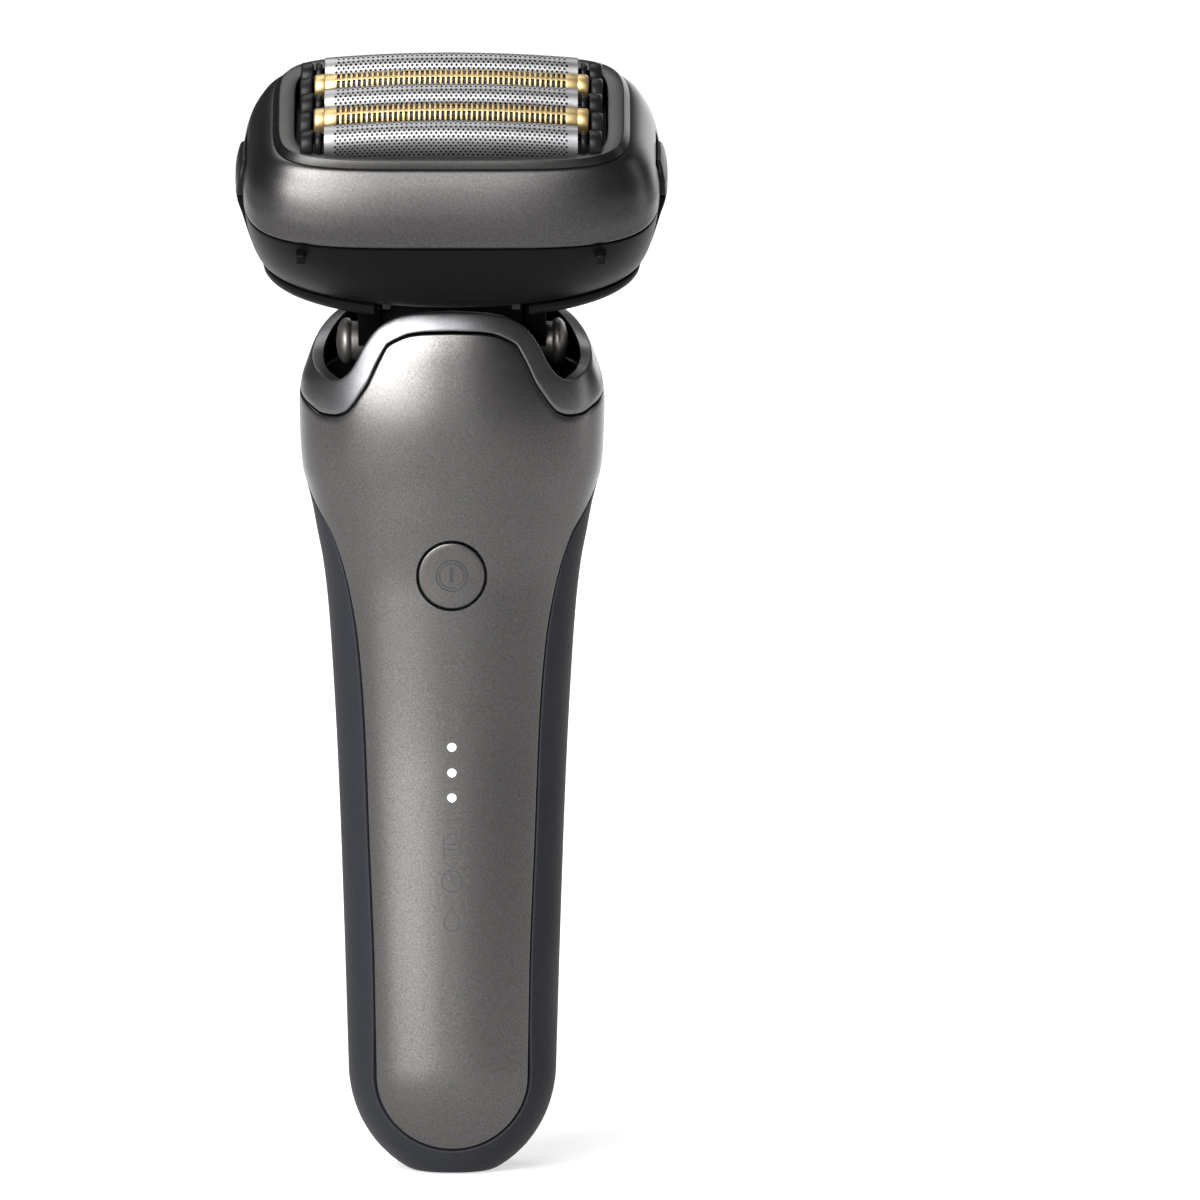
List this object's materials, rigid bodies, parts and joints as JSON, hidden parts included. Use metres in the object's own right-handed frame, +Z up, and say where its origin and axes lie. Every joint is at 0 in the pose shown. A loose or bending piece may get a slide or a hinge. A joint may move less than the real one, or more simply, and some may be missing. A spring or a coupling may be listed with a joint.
{
  "type": "foil shaver",
  "caption": "Cordless foil shaver with a floating, forward-leaning head of foils and slotted combs on a flexible neck, a rubber-gripped handle, a power button and a pop-up trimmer",
  "frame": {"origin": "middle of the flat foot that the shaver stands on", "axes": "+Z up along the handle, +X to the right as seen from the front, front panel towards -Y"},
  "size_m": [0.0636, 0.047, 0.1657],
  "materials": {
    "gunmetal": "satin metallic paint with a fine flake",
    "panel_metal": "satin metallic lacquer with a fine flake on a drawn metal panel",
    "collar": "satin silver paint",
    "rubber": "matt, finely grained",
    "black": "satin black",
    "inner_plastic": "matt black",
    "chassis_metal": "pressed steel frame with a dark zinc coat",
    "steel": "bright, finely brushed",
    "gold": "gold-coloured titanium coating",
    "nickel": "satin nickel plating",
    "board": "green solder mask",
    "cell": "printed sleeve on a lithium cell, whose mean density is near aluminium's",
    "copper": "enamelled copper wire",
    "lens": "white diffusing light guide"
  },
  "bodies": {
    "handle": {"front_panel": "panel_metal", "rear_shell": "rubber", "neck_collar": "collar", "inner_chassis": "chassis_metal", "battery_cell": "cell", "circuit_board": "board", "tact_switch": "inner_plastic", "light_guide": "lens", "charging_inlet": "black", "inlet_pin_left": "steel", "inlet_pin_right": "steel", "charge_contact_left": "gold", "charge_contact_centre": "gold", "charge_contact_right": "gold", "trimmer_track": "inner_plastic", "neck_gasket": "rubber"},
    "button": {"power_button": "gunmetal"},
    "trimmer": {"trimmer_slide": "black", "trimmer_comb": "steel"},
    "trimmer_blade": {"trimmer_cutter": "steel"},
    "turntable": {"neck_turntable": "inner_plastic"},
    "carriage": {"neck_carriage": "inner_plastic", "neck_spring": "steel"},
    "post": {"neck_post": "steel", "roll_pin": "steel"},
    "cradle": {"roll_cradle": "inner_plastic"},
    "head": {"head_base": "black", "head_yoke": "black", "pivot_cap_left": "nickel", "pivot_cap_right": "nickel", "motor_core": "steel", "motor_coil": "copper", "drive_deck": "inner_plastic", "drive_seal": "rubber"},
    "front_mover": {"mover_front": "steel", "drive_link": "inner_plastic"},
    "rear_mover": {"mover_rear": "steel"},
    "front_blade": {"foil_front_blade": "steel"},
    "rear_blade": {"foil_rear_blade": "steel"},
    "foil_frame": {"head_cover": "gunmetal", "cover_bezel": "gunmetal", "cassette_frame": "black"},
    "foil_front_unit": {"foil_front": "steel", "foil_front_carrier": "black"},
    "comb_front_unit": {"comb_front": "gold", "comb_front_carrier": "black"},
    "foil_centre_unit": {"foil_centre": "steel", "foil_centre_carrier": "black"},
    "comb_rear_unit": {"comb_rear": "gold", "comb_rear_carrier": "black"},
    "foil_rear_unit": {"foil_rear": "steel", "foil_rear_carrier": "black"},
    "comb_front_cutter": {"comb_front_blade": "steel"},
    "foil_centre_cutter": {"foil_centre_blade": "steel"},
    "comb_rear_cutter": {"comb_rear_blade": "steel"},
    "frame_button_left": {"frame_release_left": "black"},
    "cassette_button_left": {"cassette_release_left": "black"},
    "frame_button_right": {"frame_release_right": "black"},
    "cassette_button_right": {"cassette_release_right": "black"}
  },
  "joints": [
    {"name": "power_press", "type": "slide", "parent": "handle", "child": "button", "axis": [0, 1, 0], "range_m": [0, 0.0005], "stiffness_N_per_m": 1200, "springref_m": -0.0003},
    {"name": "trimmer_lift", "type": "slide", "parent": "handle", "child": "trimmer", "axis": [0, 0, 1], "range_m": [0, 0.012]},
    {"name": "trimmer_cut", "type": "slide", "parent": "trimmer", "child": "trimmer_blade", "axis": [1, 0, 0], "range_m": [-0.0008, 0.0008], "stiffness_N_per_m": 150},
    {"name": "head_twist", "type": "hinge", "parent": "handle", "child": "turntable", "pos_m": [0, 0.001, 0.1062], "axis": [0, 0, 1], "range_deg": [-5, 5], "stiffness_Nm_per_rad": 0.4},
    {"name": "head_slide", "type": "slide", "parent": "turntable", "child": "carriage", "axis": [0, 1, 0], "range_m": [-0.0012, 0.0012], "stiffness_N_per_m": 900},
    {"name": "head_heave", "type": "slide", "parent": "carriage", "child": "post", "axis": [0, 0, 1], "range_m": [-0.0015, 0], "stiffness_N_per_m": 900, "springref_m": 0.0015, "deforming": ["neck_spring"]},
    {"name": "head_roll", "type": "hinge", "parent": "post", "child": "cradle", "pos_m": [0, 0.001, 0.118], "axis": [0, 1, 0], "range_deg": [-6, 6], "stiffness_Nm_per_rad": 0.6},
    {"name": "head_pitch", "type": "hinge", "parent": "cradle", "child": "head", "pos_m": [0, 0.001, 0.1224], "axis": [1, 0, 0], "range_deg": [-12, 6], "stiffness_Nm_per_rad": 0.6, "springref_deg": -0.69},
    {"name": "drive_front", "type": "slide", "parent": "head", "child": "front_mover", "axis": [1, 0, 0], "range_m": [-0.0012, 0.0012], "stiffness_N_per_m": 600},
    {"name": "drive_rear", "type": "slide", "parent": "head", "child": "rear_mover", "axis": [1, 0, 0], "range_m": [-0.0012, 0.0012], "stiffness_N_per_m": 600},
    {"name": "blade_front_float", "type": "slide", "parent": "front_mover", "child": "front_blade", "axis": [0, -0.4384, 0.8988], "range_m": [-0.0015, 0], "stiffness_N_per_m": 250, "springref_m": 0.001},
    {"name": "blade_rear_float", "type": "slide", "parent": "rear_mover", "child": "rear_blade", "axis": [0, -0.4384, 0.8988], "range_m": [-0.0015, 0], "stiffness_N_per_m": 250, "springref_m": 0.001},
    {"name": "frame_lift", "type": "slide", "parent": "head", "child": "foil_frame", "axis": [0, -0.4384, 0.8988], "range_m": [0, 0.03]},
    {"name": "foil_front_float", "type": "slide", "parent": "foil_frame", "child": "foil_front_unit", "axis": [0, -0.4384, 0.8988], "range_m": [-0.0015, 0], "stiffness_N_per_m": 300, "springref_m": 0.001},
    {"name": "comb_front_float", "type": "slide", "parent": "foil_frame", "child": "comb_front_unit", "axis": [0, -0.4384, 0.8988], "range_m": [-0.0015, 0], "stiffness_N_per_m": 300, "springref_m": 0.001},
    {"name": "foil_centre_float", "type": "slide", "parent": "foil_frame", "child": "foil_centre_unit", "axis": [0, -0.4384, 0.8988], "range_m": [-0.0015, 0], "stiffness_N_per_m": 300, "springref_m": 0.001},
    {"name": "comb_rear_float", "type": "slide", "parent": "foil_frame", "child": "comb_rear_unit", "axis": [0, -0.4384, 0.8988], "range_m": [-0.0015, 0], "stiffness_N_per_m": 300, "springref_m": 0.001},
    {"name": "foil_rear_float", "type": "slide", "parent": "foil_frame", "child": "foil_rear_unit", "axis": [0, -0.4384, 0.8988], "range_m": [-0.0015, 0], "stiffness_N_per_m": 300, "springref_m": 0.001},
    {"name": "comb_front_cut", "type": "slide", "parent": "comb_front_unit", "child": "comb_front_cutter", "axis": [1, 0, 0], "range_m": [-0.0012, 0.0012], "stiffness_N_per_m": 150},
    {"name": "foil_centre_cut", "type": "slide", "parent": "foil_centre_unit", "child": "foil_centre_cutter", "axis": [1, 0, 0], "range_m": [-0.0012, 0.0012], "stiffness_N_per_m": 150},
    {"name": "comb_rear_cut", "type": "slide", "parent": "comb_rear_unit", "child": "comb_rear_cutter", "axis": [1, 0, 0], "range_m": [-0.0012, 0.0012], "stiffness_N_per_m": 150},
    {"name": "frame_release_left_press", "type": "slide", "parent": "head", "child": "frame_button_left", "axis": [1, 0, 0], "range_m": [0, 0.0012], "stiffness_N_per_m": 600, "springref_m": -0.0006},
    {"name": "cassette_release_left_press", "type": "slide", "parent": "foil_frame", "child": "cassette_button_left", "axis": [1, 0, 0], "range_m": [0, 0.0012], "stiffness_N_per_m": 600, "springref_m": -0.0006},
    {"name": "frame_release_right_press", "type": "slide", "parent": "head", "child": "frame_button_right", "axis": [-1, 0, 0], "range_m": [0, 0.0012], "stiffness_N_per_m": 600, "springref_m": -0.0006},
    {"name": "cassette_release_right_press", "type": "slide", "parent": "foil_frame", "child": "cassette_button_right", "axis": [-1, 0, 0], "range_m": [0, 0.0012], "stiffness_N_per_m": 600, "springref_m": -0.0006}
  ],
  "couplings": [
    {"joint": "drive_rear", "follows": "drive_front", "ratio": -1},
    {"joint": "blade_front_float", "follows": "foil_front_float", "ratio": 1},
    {"joint": "blade_rear_float", "follows": "foil_rear_float", "ratio": 1},
    {"joint": "comb_front_cut", "follows": "drive_front", "ratio": 1},
    {"joint": "foil_centre_cut", "follows": "drive_front", "ratio": 1},
    {"joint": "comb_rear_cut", "follows": "drive_front", "ratio": 1}
  ]
}
